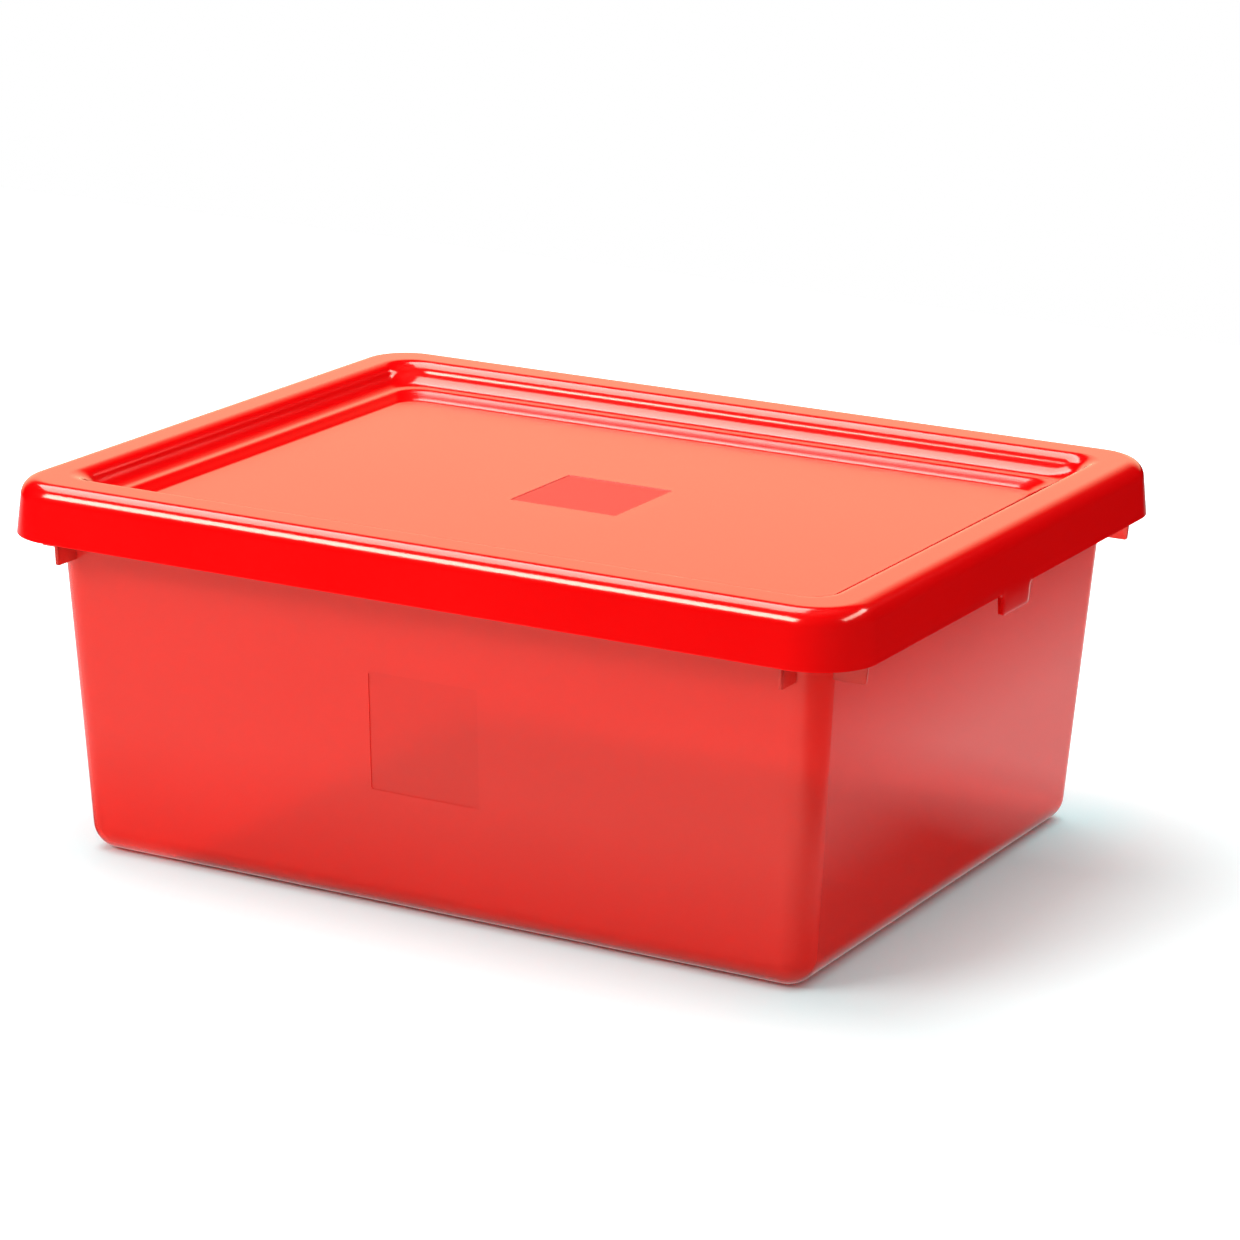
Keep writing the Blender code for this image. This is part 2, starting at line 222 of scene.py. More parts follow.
# Flat ribs, two on each of a pair of facing walls. The flat outline stands for the wall that faces +X.
def makeRibTree():
    maker, given, result = newTree("cornerRibs", "GeometryNodeTree", [
        ("Outline", "INPUT", "NodeSocketGeometry", None),
        ("Thickness", "INPUT", "NodeSocketFloat", 0.0016),
        ("Place", "INPUT", "NodeSocketFloat", 0.13),
        ("Turn", "INPUT", "NodeSocketFloat", 0.0),
        ("Merge Distance", "INPUT", "NodeSocketFloat", 0.00002),
        ("Material", "INPUT", "NodeSocketMaterial", None),
        ("Ribs", "OUTPUT", "NodeSocketGeometry", None),
    ])
    flat = given.outputs["Outline"]
    thickness = given.outputs["Thickness"]
    grown = maker.node("GeometryNodeExtrudeMesh", {
        "Mesh": flat, "Offset": (0, 1, 0), "Offset Scale": thickness, "Individual": False}, mode="FACES")
    back = maker.node("GeometryNodeFlipFaces", {"Mesh": flat}).outputs[0]
    join = maker.node("GeometryNodeJoinGeometry")
    maker.feed(join.inputs[0], grown.outputs["Mesh"])
    maker.feed(join.inputs[0], back)
    plate = maker.node("GeometryNodeMergeByDistance", {
        "Geometry": join.outputs[0], "Distance": given.outputs["Merge Distance"]}).outputs[0]

    def along(value, factor):
        return maker.node("ShaderNodeCombineXYZ", {1: maker.calc("MULTIPLY", value, factor)}).outputs[0]

    centre = along(thickness, -0.5)
    plate = maker.node("GeometryNodeTransform", {"Geometry": plate, "Translation": centre}).outputs[0]
    spots = maker.node("GeometryNodeMeshLine", {
        "Count": 2, "Start Location": along(given.outputs["Place"], -1),
        "Offset": along(given.outputs["Place"], 2)}).outputs[0]
    pair = maker.node("GeometryNodeInstanceOnPoints", {"Points": spots, "Instance": plate}).outputs[0]
    facing = maker.node("GeometryNodeTransform", {"Geometry": pair, "Rotation": (0, 0, math.pi)}).outputs[0]
    both = maker.node("GeometryNodeJoinGeometry")
    maker.feed(both.inputs[0], pair)
    maker.feed(both.inputs[0], facing)
    turn = maker.node("ShaderNodeCombineXYZ", {2: given.outputs["Turn"]}).outputs[0]
    ribs = maker.node("GeometryNodeTransform", {"Geometry": both.outputs[0], "Rotation": turn}).outputs[0]
    ribs = maker.node("GeometryNodeRealizeInstances", {"Geometry": ribs}).outputs[0]
    ribs = maker.node("GeometryNodeSetMaterial", {
        "Geometry": ribs, "Material": given.outputs["Material"]}).outputs[0]
    maker.feed(result.inputs["Ribs"], ribs)
    return maker.tree


# Moulded plastic is never quite even: a slow drift of tone and gloss, and a faint ripple from the mould.
# The plain square is a little darker and duller than the plastic round it.
def makePlasticGroup():
    maker, given, result = newTree("mouldedPlastic", "ShaderNodeTree", [
        ("Colour", "INPUT", "NodeSocketColor", (1, 1, 1, 1)),
        ("Tone Drift", "INPUT", "NodeSocketFloat", 0.05),
        ("Roughness", "INPUT", "NodeSocketFloat", 0.2),
        ("Gloss Drift", "INPUT", "NodeSocketFloat", 0.04),
        ("Drift Scale", "INPUT", "NodeSocketFloat", 14.0),
        ("Ripple Scale", "INPUT", "NodeSocketFloat", 220.0),
        ("Square Centre", "INPUT", "NodeSocketVector", (0, 0, 0)),
        ("Square Half", "INPUT", "NodeSocketVector", (1, 1, 1)),
        ("Square Tone", "INPUT", "NodeSocketFloat", 0.9),
        ("Square Roughness", "INPUT", "NodeSocketFloat", 0.3),
        ("Colour", "OUTPUT", "NodeSocketColor", None),
        ("Roughness", "OUTPUT", "NodeSocketFloat", None),
        ("Height", "OUTPUT", "NodeSocketFloat", None),
    ])
    spot = maker.node("ShaderNodeTexCoord").outputs["Object"]
    drift = maker.node("ShaderNodeTexNoise", {
        "Vector": spot, "Scale": given.outputs["Drift Scale"], "Detail": 3.0, "Roughness": 0.5}).outputs[0]
    ripple = maker.node("ShaderNodeTexNoise", {
        "Vector": spot, "Scale": given.outputs["Ripple Scale"], "Detail": 2.0, "Roughness": 0.4}).outputs[0]
    away = maker.node("ShaderNodeVectorMath", {0: spot, 1: given.outputs["Square Centre"]},
                      operation="SUBTRACT")
    away = maker.node("ShaderNodeVectorMath", {0: away.outputs[0]}, operation="ABSOLUTE")
    inside = maker.node("ShaderNodeVectorMath", {0: given.outputs["Square Half"], 1: away.outputs[0]},
                        operation="SUBTRACT")
    parts = maker.node("ShaderNodeSeparateXYZ", {0: inside.outputs[0]})
    least = maker.calc("MINIMUM", parts.outputs[0], parts.outputs[1])
    least = maker.calc("MINIMUM", least, parts.outputs[2])
    square = maker.calc("GREATER_THAN", least, 0.0)
    swing = maker.calc("SUBTRACT", drift, 0.5)
    tone = maker.calc("MULTIPLY_ADD", swing, given.outputs["Tone Drift"], 1.0)
    tone = maker.calc("MULTIPLY", tone, maker.mix(square, 1.0, given.outputs["Square Tone"]))
    tinted = maker.node("ShaderNodeVectorMath", {0: given.outputs["Colour"], "Scale": tone},
                        operation="SCALE")
    gloss = maker.calc("MULTIPLY_ADD", swing, given.outputs["Gloss Drift"],
                       maker.mix(square, given.outputs["Roughness"], given.outputs["Square Roughness"]))
    maker.feed(result.inputs["Colour"], tinted.outputs[0])
    maker.feed(result.inputs["Roughness"], gloss)
    maker.feed(result.inputs["Height"], ripple)
    return maker.tree


def makePlastic(name, group, settings):
    material = bpy.data.materials.new(name)
    material.use_nodes = True
    maker = TreeMaker(material.node_tree)
    shader = material.node_tree.nodes["Principled BSDF"]
    finish = maker.node("ShaderNodeGroup", node_tree=group)
    for key, value in settings["finish"].items():
        finish.inputs[key].default_value = value
    maker.feed(shader.inputs["Base Color"], finish.outputs["Colour"])
    maker.feed(shader.inputs["Roughness"], finish.outputs["Roughness"])
    bump = maker.node("ShaderNodeBump", {
        "Strength": settings["rippleStrength"], "Distance": settings["rippleDepth"],
        "Height": finish.outputs["Height"]})
    maker.feed(shader.inputs["Normal"], bump.outputs[0])
    for key, value in settings["shader"].items():
        shader.inputs[key].default_value = value
    return material


plasticGroup = makePlasticGroup()
lidFinish = {
    "finish": {
        "Colour": (0.92, 0.0, 0.001, 1), "Tone Drift": 0.04, "Roughness": 0.13, "Gloss Drift": 0.05,
        "Drift Scale": 9.0, "Ripple Scale": 60.0,
        "Square Centre": (0, 0, 0.153), "Square Half": (0.0257, 0.0257, 0.004),
        "Square Tone": 0.9, "Square Roughness": 0.5,
    },
    # The yellow Specular Tint paints the warm colour of the light into every reflection; the lamps are
    # white.
    "shader": {"IOR": 1.5, "Specular Tint": (1, 1, 0.8, 1)},
    "rippleStrength": 0.02, "rippleDepth": 0.0005,
}
tubFinish = {
    "finish": {
        "Colour": (0.93, 0.055, 0.042, 1), "Tone Drift": 0.05, "Roughness": 0.13, "Gloss Drift": 0.05,
        "Drift Scale": 7.0, "Ripple Scale": 50.0,
        "Square Centre": (0, -0.1387, 0.0788), "Square Half": (0.0257, 0.004, 0.0257),
        "Square Tone": 0.945, "Square Roughness": 0.16,
    },
    # The yellow Specular Tint paints the warm colour of the light into every reflection; the lamps are
    # white.
    "shader": {"IOR": 1.49, "Transmission Weight": 0.6, "Specular Tint": (1, 1, 0.8, 1)},
    "rippleStrength": 0.02, "rippleDepth": 0.0005,
}
lidPlastic = makePlastic("glossyRedPlastic", plasticGroup, lidFinish)
tubPlastic = makePlastic("translucentRedPlastic", plasticGroup, tubFinish)
print("finishes made")


# One point of the quarter outline: shares of half size, of corner radius and of the helper distance
def outlinePoint(sizeX, sizeY, turnX=0.0, turnY=0.0, helpX=0.0, helpY=0.0, **tongue):
    point = {"sizeX": sizeX, "sizeY": sizeY, "turnX": turnX, "turnY": turnY, "helpX": helpX, "helpY": helpY,
             "tongue": 0.0, "bend": 0.0, "tongueSide": 0.0, "tongueHeight": 0.0}
    point.update(tongue)
    return point


def cornerPoints():
    points = [outlinePoint(1, 1, turnY=-1, helpY=-1)]
    for step in range(common["cornerSteps"] + 1):
        turn = math.pi / 2 * step / common["cornerSteps"]
        points.append(outlinePoint(1, 1, turnX=math.cos(turn) - 1, turnY=math.sin(turn) - 1))
    points.append(outlinePoint(1, 1, turnX=-1, helpX=-1))
    points.append(outlinePoint(0, 1))
    return points


def level(halfX, halfY, corner, height, **more):
    row = {"halfX": halfX, "halfY": halfY, "corner": corner, "height": height,
           "support": common["support"], "hang": 0.0, "tongueOut": halfX}
    row.update(more)
    return row


def lidLevel(out, height, **more):
    return level(common["lidHalfX"] + out, common["lidHalfY"] + out, common["lidCorner"] + out,
                 height, **more)


# The face nearest the origin is in the middle of the lid's panel or of the tub's floor
def faceOutward(item, middleFacesUp=None):
    shape = bmesh.new()
    shape.from_mesh(item.data)
    bmesh.ops.recalc_face_normals(shape, faces=shape.faces)
    if middleFacesUp is not None:
        middle = min(shape.faces, key=lambda face: face.calc_center_median().length)
        if (middle.normal.z > 0) != middleFacesUp:
            bmesh.ops.reverse_faces(shape, faces=shape.faces)
    shape.to_mesh(item.data)
    shape.free()


shellTree = makeShellTree()


def makeShell(name, levels, outline, material, wall, middleFacesUp):
    sections = addTable(name + "Levels", levels)
    way = addTable(name + "Outline", outline)
    addTreeModifier(sections, shellTree, {
        "Outline": way, "Merge Distance": common["mergeDistance"], "Material": material})
    bpy.context.view_layer.update()
    shell = plainCopy(sections, name)
    dropObject(way)
    faceOutward(shell, middleFacesUp)
    solidify = shell.modifiers.new("wall", "SOLIDIFY")
    solidify.thickness = wall
    solidify.offset = -1
    solidify.use_even_offset = True
    return shell


def addBoolean(item, tool, operation):
    boolean = item.modifiers.new(tool.name, "BOOLEAN")
    boolean.operation = operation
    boolean.solver = "EXACT"
    boolean.object = tool


def addBevel(item, width, segments):
    bevel = item.modifiers.new("roundedEdges", "BEVEL")
    bevel.width = width
    bevel.segments = segments
    bevel.limit_method = "ANGLE"
    bevel.angle_limit = math.radians(common["bevelFromDeg"])
    bevel.harden_normals = False


def finishPiece(item, body, node):
    item.data.shade_smooth()
    item.data.set_sharp_from_angle(angle=math.radians(common["sharpDeg"]))
    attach(item, body)
    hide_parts(node)


lid = {
    "bandWidth": (0.0090, 0.0108), "bandInnerCorner": 0.014,
    "firstDrop": 0.0092, "firstRun": (0.0144, 0.0157), "ledgeRun": (0.0010, 0.0017), "ledgeCorner": 0.012,
    "secondDrop": 0.0035, "secondRun": (0.0076, 0.0117),
    # how steep each slope is on its way down: share of the way, then degrees
    "firstLeans": (
        (0.0, 0.0), (0.135, 19.0), (0.33, 41.0), (0.445, 59.6), (0.62, 41.0), (0.885, 19.0), (1.0, 0.0)),
    "secondLeans": (
        (0.0, 0.0), (0.22, 20.4), (0.30, 20.8), (0.36, 20.5),
        (0.62, 19.0), (0.81, 21.5), (0.86, 20.0), (1.0, 0.0)),
    "panelCorner": 0.010, "slopeSteps": 44, "edgeSteps": 14,
    "squareHalf": 0.02575, "squareCorner": 0.0012, "squareDepth": 0.0004, "squareEdge": 0.0003,
    "tongueHalf": 0.0145, "tongueTipHalf": 0.0137, "tongueDrop": 0.0096, "tongueRoot": 0.0025,
    "tongueTip": 0.0025, "tongueBlend": 0.0040, "tongueRows": 8,
    "tongueOut": (0.00152, -0.00202, 0.00044),  # how its face leaves the skirt, turns upright and curls in
    "tongueSteps": 6, "rimRound": 0.0005, "rimRoundSteps": 3,
}


# A slope between two flats as shares of its run and drop, from how it leans on the way
def slopeShares(leans):
    steps = lid["slopeSteps"]
    places = [(0.0, 0.0)]
    for (start, before), (end, after) in zip(leans, leans[1:]):
        count = max(1, round((end - start) * steps))
        for step in range(count):
            lean = math.radians(before + (after - before) * (step + 0.5) / count)
            length = (end - start) / count
            out, down = places[-1]
            places.append((out + length * math.cos(lean), down + length * math.sin(lean)))
    run, drop = places[-1]
    return [(out / run, down / drop) for out, down in places]


def slopeLevels(halfX, halfY, height, run, drop, corners, leans):
    levels = []
    for runShare, dropShare in slopeShares(leans):
        corner = corners[0] + (corners[1] - corners[0]) * runShare
        levels.append(level(halfX - run[0] * runShare, halfY - run[1] * runShare, corner,
                            height - drop * dropShare))
    return levels


def lidLevels():
    support = common["support"]
    bandX = common["lidHalfX"] - edgeInset - lid["bandWidth"][0]
    bandY = common["lidHalfY"] - edgeInset - lid["bandWidth"][1]
    ledgeX, ledgeY = bandX - lid["firstRun"][0], bandY - lid["firstRun"][1]
    ledgeHeight = common["topHeight"] - lid["firstDrop"]
    panelHeight = ledgeHeight - lid["secondDrop"]
    first = slopeLevels(bandX, bandY, common["topHeight"], lid["firstRun"], lid["firstDrop"],
                        (lid["bandInnerCorner"], lid["ledgeCorner"]), lid["firstLeans"])
    second = slopeLevels(ledgeX - lid["ledgeRun"][0], ledgeY - lid["ledgeRun"][1], ledgeHeight,
                         lid["secondRun"], lid["secondDrop"], (lid["ledgeCorner"], lid["panelCorner"]),
                         lid["secondLeans"])
    squareHeight = panelHeight - lid["squareDepth"]
    levels = [level(0, 0, 0, squareHeight, support=0.0)]
    for edges, height in ((-2, squareHeight), (-1, squareHeight), (0, panelHeight), (1, panelHeight)):
        half = lid["squareHalf"] + edges * lid["squareEdge"]
        levels.append(level(half, half, lid["squareCorner"], height, support=lid["squareEdge"]))
    foot = second[-1]
    levels.append(level(foot["halfX"] - support, foot["halfY"] - support, foot["corner"], panelHeight))
    levels.extend(reversed(first + second))
    levels.append(level(bandX + support, bandY + support, lid["bandInnerCorner"] + support / 2,
                        common["topHeight"]))
    levels.append(lidLevel(-edgeInset - support, common["topHeight"]))
    edge = arcPoints(-edgeInset, edgeHeight, common["edgeRadius"], 90, common["flareDeg"],
                     lid["edgeSteps"])
    levels.extend(lidLevel(out, height) for out, height in edge)
    levels.append(lidLevel(levels[-1]["halfX"] - common["lidHalfX"] + support * math.sin(flare),
                           edgeEnd - support * math.cos(flare)))
    blendTop = common["skirtBottom"] + lid["tongueBlend"]
    blendOut = -lid["tongueBlend"] * math.tan(flare)
    for step in range(lid["tongueRows"] + 1):
        hang = step / lid["tongueRows"]
        bulge = sum(part * hang ** (power + 1) for power, part in enumerate(lid["tongueOut"]))
        levels.append(lidLevel(blendOut * (1 - hang), blendTop - lid["tongueBlend"] * hang, hang=hang,
                               tongueOut=common["lidHalfX"] + blendOut + bulge))
    return levels


# The quarter outline of the lid, with the points of the tongue's edge on the short side
def lidOutline():
    half, tipHalf, tip = lid["tongueHalf"], lid["tongueTipHalf"], lid["tongueTip"]
    bottom = common["skirtBottom"] - lid["tongueDrop"]
    edge = [(0, bottom), (half / 3, bottom), (half * 2 / 3, bottom)]
    edge += arcPoints(tipHalf - tip, bottom + tip, tip, -90, 0, lid["tongueSteps"])
    edge += [((half + tipHalf) / 2, common["skirtBottom"] - lid["tongueDrop"] / 2)]
    root = lid["tongueRoot"]
    rootArc = arcPoints(half + root, common["skirtBottom"] - root, root, 90, 180, lid["tongueSteps"])
    edge += list(reversed(rootArc))
    outer = half + root
    points = []
    for index, (side, height) in enumerate(edge):
        rest = outer * index / (len(edge) - 1)
        bend = min(1.0, max(0.0, (outer - side) / root))
        points.append(outlinePoint(1, rest / common["lidHalfY"], tongue=1.0, bend=bend,
                                   tongueSide=side, tongueHeight=height))
    points.append(outlinePoint(1, (outer + common["support"]) / common["lidHalfY"]))
    return points + cornerPoints()


lidShell = makeShell("lidShell", lidLevels(), lidOutline(), lidPlastic, common["lidWall"], True)
addBevel(lidShell, lid["rimRound"], lid["rimRoundSteps"])
lidShell = plainCopy(lidShell, "lidShell")
lidShell.visible_glossy = False  # the glossy panel mirrors the room, not the slopes beside it
finishPiece(lidShell, "lid", "lid")
print("lid made", len(lidShell.data.polygons))


tub = {
    "overhang": (0.0189, 0.0170), "draftDeg": 3.5, "corner": 0.013, "floorRadius": 0.012,
    "rimBend": 0.0025, "lipDepth": 0.0145, "floorSteps": 10, "bendSteps": 6, "lipSteps": 8,
    "ribThickness": 0.0016, "ribHang": 0.0098, "ribTip": 0.0010, "ribDraft": 0.0008, "ribTipSteps": 4,
    "ribRound": 0.0003, "ribRoundSteps": 2,
    # place along the wall and inset from the skirt, for the walls across X and then across Y
    "ribPlaces": ((0.1303, 0.0046), (0.1695, 0.0034)),
    "squareHalf": 0.02575, "squareCorner": 0.0012, "squareDepth": 0.0004, "squareHeight": 0.0788,
    "squareSteps": 4,
}
draft = math.radians(tub["draftDeg"])
rimTop = common["topHeight"] - common["lidWall"] - common["seatGap"]
rimUnder = rimTop - common["tubWall"]
rimEdge = common["edgeRadius"] - common["lidWall"] - common["sideGap"]
lipBottom = rimTop - tub["lipDepth"]
lidHalves = (common["lidHalfX"], common["lidHalfY"])


def tubHalf(axis, height):
    return lidHalves[axis] - tub["overhang"][axis] - (common["skirtBottom"] - height) * math.tan(draft)


def tubLevel(out, fromHeight, height):
    return level(tubHalf(0, fromHeight) + out, tubHalf(1, fromHeight) + out, tub["corner"] + out, height)


def tubLevels():
    support = common["support"]
    turn = arcPoints(0, tub["floorRadius"], tub["floorRadius"], -90, -tub["draftDeg"], tub["floorSteps"])
    endOut, endHeight = turn[-1]
    levels = [level(0, 0, 0, 0, support=0.0), tubLevel(-endOut - support, endHeight, 0)]
    levels[1]["corner"] = tub["corner"] - endOut
    for out, height in turn:
        levels.append(tubLevel(out - endOut, endHeight, height))
    bend = arcPoints(tub["rimBend"], rimUnder - tub["rimBend"], tub["rimBend"],
                     180 - tub["draftDeg"], 90, tub["bendSteps"])
    startOut, startHeight = bend[0]
    for height in (endHeight + support, tub["squareHeight"], startHeight - support):
        levels.append(tubLevel(0, height, height))
    for out, height in bend:
        levels.append(tubLevel(out - startOut, startHeight, height))
    lip = arcPoints(-edgeInset, edgeHeight, rimEdge - common["tubWall"], 90, common["flareDeg"],
                    tub["lipSteps"])
    lip.append((lip[-1][0] + (lip[-1][1] - lipBottom) * math.tan(flare), lipBottom))
    levels.extend(lidLevel(out, height) for out, height in lip)
    return levels


def lipMiddle(axis, height):
    middle = (rimEdge - common["tubWall"] / 2) / math.cos(flare)
    return lidHalves[axis] - edgeInset + middle + (edgeHeight - height) * math.tan(flare)


# Outline of a rib in the wall's section: it fills the corner under the rim, and its tip hangs below
# the lid
def ribOutline(axis, inset):
    inWall = common["tubWall"] / 2
    bottom = common["skirtBottom"] - tub["ribHang"]
    top = rimTop - inWall
    reach = lidHalves[axis] - inset
    points = [(tubHalf(axis, bottom) - inWall, bottom), (tubHalf(axis, top) - inWall, top),
              (lidHalves[axis] - edgeInset, top), (lipMiddle(axis, edgeHeight), edgeHeight),
              (lipMiddle(axis, lipBottom), lipBottom), (reach, common["skirtBottom"])]
    tip = tub["ribTip"]
    points += arcPoints(reach - tub["ribDraft"] - tip, bottom + tip, tip, 0, -90, tub["ribTipSteps"])
    return [(out, 0, height) for out, height in points]


ribTree = makeRibTree()


def makeRibs(name, axis):
    place, inset = tub["ribPlaces"][axis]
    points = ribOutline(axis, inset)
    ribs = addObject(name, meshFrom(name, points, [list(range(len(points)))]))
    addTreeModifier(ribs, ribTree, {
        "Thickness": tub["ribThickness"], "Place": place, "Turn": axis * math.pi / 2,
        "Merge Distance": common["mergeDistance"], "Material": tubPlastic})
    addBevel(ribs, tub["ribRound"], tub["ribRoundSteps"])
    bpy.context.view_layer.update()
    ribs = plainCopy(ribs, name)
    faceOutward(ribs)
    return ribs


# Cutter for the plain square on the front wall, with rounded corners, lying along the drafted wall
def makeSquareCutter(name):
    half, corner, depth = tub["squareHalf"], tub["squareCorner"], tub["squareDepth"]
    ring = []
    for index, (signX, signY) in enumerate(((1, 1), (-1, 1), (-1, -1), (1, -1))):
        for out, up in arcPoints(0, 0, corner, 90 * index, 90 * index + 90, tub["squareSteps"]):
            ring.append((signX * (half - corner) + out, signY * (half - corner) + up))
    count = len(ring)
    points = [(out, up, layer * depth) for layer in (-1, 1) for out, up in ring]
    faces = [list(range(count))[::-1], list(range(count, 2 * count))]
    for index in range(count):
        after = (index + 1) % count
        faces.append([index, after, count + after, count + index])
    cutter = addObject(name, meshFrom(name, points, faces))
    cutter.data.materials.append(tubPlastic)
    place = Matrix.Translation((0, -tubHalf(1, tub["squareHeight"]), tub["squareHeight"]))
    cutter.data.transform(place @ Matrix.Rotation(math.pi / 2 + draft, 4, "X"))
    return cutter


tubOutline = [outlinePoint(1, 0)] + cornerPoints()
tubShell = makeShell("tubShell", tubLevels(), tubOutline, tubPlastic, common["tubWall"], False)
tubTools = [makeRibs("shortWallRibs", 0), makeRibs("longWallRibs", 1)]
for ribs in tubTools:
    addBoolean(tubShell, ribs, "UNION")
tubTools.append(makeSquareCutter("wallSquare"))
addBoolean(tubShell, tubTools[-1], "DIFFERENCE")
bpy.context.view_layer.update()
tubShell = plainCopy(tubShell, "tubShell")
for tool in tubTools:
    dropObject(tool)
finishPiece(tubShell, "tub", "storage_tub")
print("tub made", len(tubShell.data.polygons))


studio = {
    "floorSize": (2.4, 2.2), "floorDrop": 0.0003, "floorColour": (0.77, 0.86, 0.86, 1),
    # Camera glow: weaker by the box and gone at its foot, painted shade and a painted contact line, and
    # tinted cyan there so that shade is painted less red.
    "floorGlow": (0.13, 0.80), "paintedShadeGlowReach": (0.0, 0.25), "shadowTint": (0.6, 1.26, 1.3, 1),
    "paintedShadeTintReach": (0.005, 0.05, 0.0, 1.0), "paintedContactShadowReach": (0.002, 0.009, 0.0, 1.0),
    # In reflections the floor is a painted glow: pale at the foot, low by the box, dark far off and beyond
    # the right end.
    "foot": ((0, 0, 0), (0.164, 0.126, 0)), "paintedFootRimReach": (0.0, 0.02, 0.6, 0.0),
    # Through the plastic the floor glows, but not in this patch under the tub, a painted shadow.
    "paintedShadowUnderTub": ((0.025, -0.006, 0), (0.145, 0.126, 0)), "paintedShadowUnderTubFade": 0.015, "floorSeenThrough": 1.8,
    "shadow": ((0.01, -0.035, 0), (0.20, 0.10, 0)), "shadowReach": (0.0, 0.12, 0.05, 1.0),
    "paintedFloorReflection": 0.92, "mirroredReach": (0.45, 0.90),
    "mirroredSide": (0.25, 0.34, 1.0, 0.13), "mirroredEnd": (0.36, 0.44),
    "ambient": (0.50, 0.50, 0.50, 1), "seenThrough": (2.1, 2.1, 2.1, 1),
    "darkRoom": (0.0, 0.0, 0.0, 1), "backdrop": (1.25, 1.10, 0.68, 1),
    "backdropDirection": (-0.475, 0.88, 0.0), "backdropSide": (0.75, 0.92),
    "backdropUp": (-0.37, 0.0, 1.0), "backdropLow": (0.02, 0.08), "backdropHigh": (0.61, 0.68),
    "lampTarget": (0, 0, 0.09),
}

# A strip is only seen in reflections. A lamp that lights is not mirrored.
lamps = {
    "frontStrip": {
        "from": (-0.43, -0.69, 0.603), "distance": 13.5, "size": (8.1, 4.5), "power": 2310, "lights": False},
    "overheadStrip": {
        "from": (-0.483, 0.191, 0.855), "distance": 12.6, "size": (7.2, 8.7), "power": 1560, "lights": False,
        "across": (1, 0.163, -0.036)},
    "rightStrip": {
        "from": (0.66, 0.37, 0.66), "distance": 4.5, "size": (5.2, 0.9), "power": 133, "lights": False},
    "front": {
        "from": (-0.50, -0.70, 0.51), "distance": 1.5, "size": (0.9, 0.3), "power": 11.0, "lights": True},
    "sky": {
        "from": (-0.16, 0.05, 1.0), "distance": 1.5, "size": (1.6, 1.4), "power": 18, "lights": True},
}


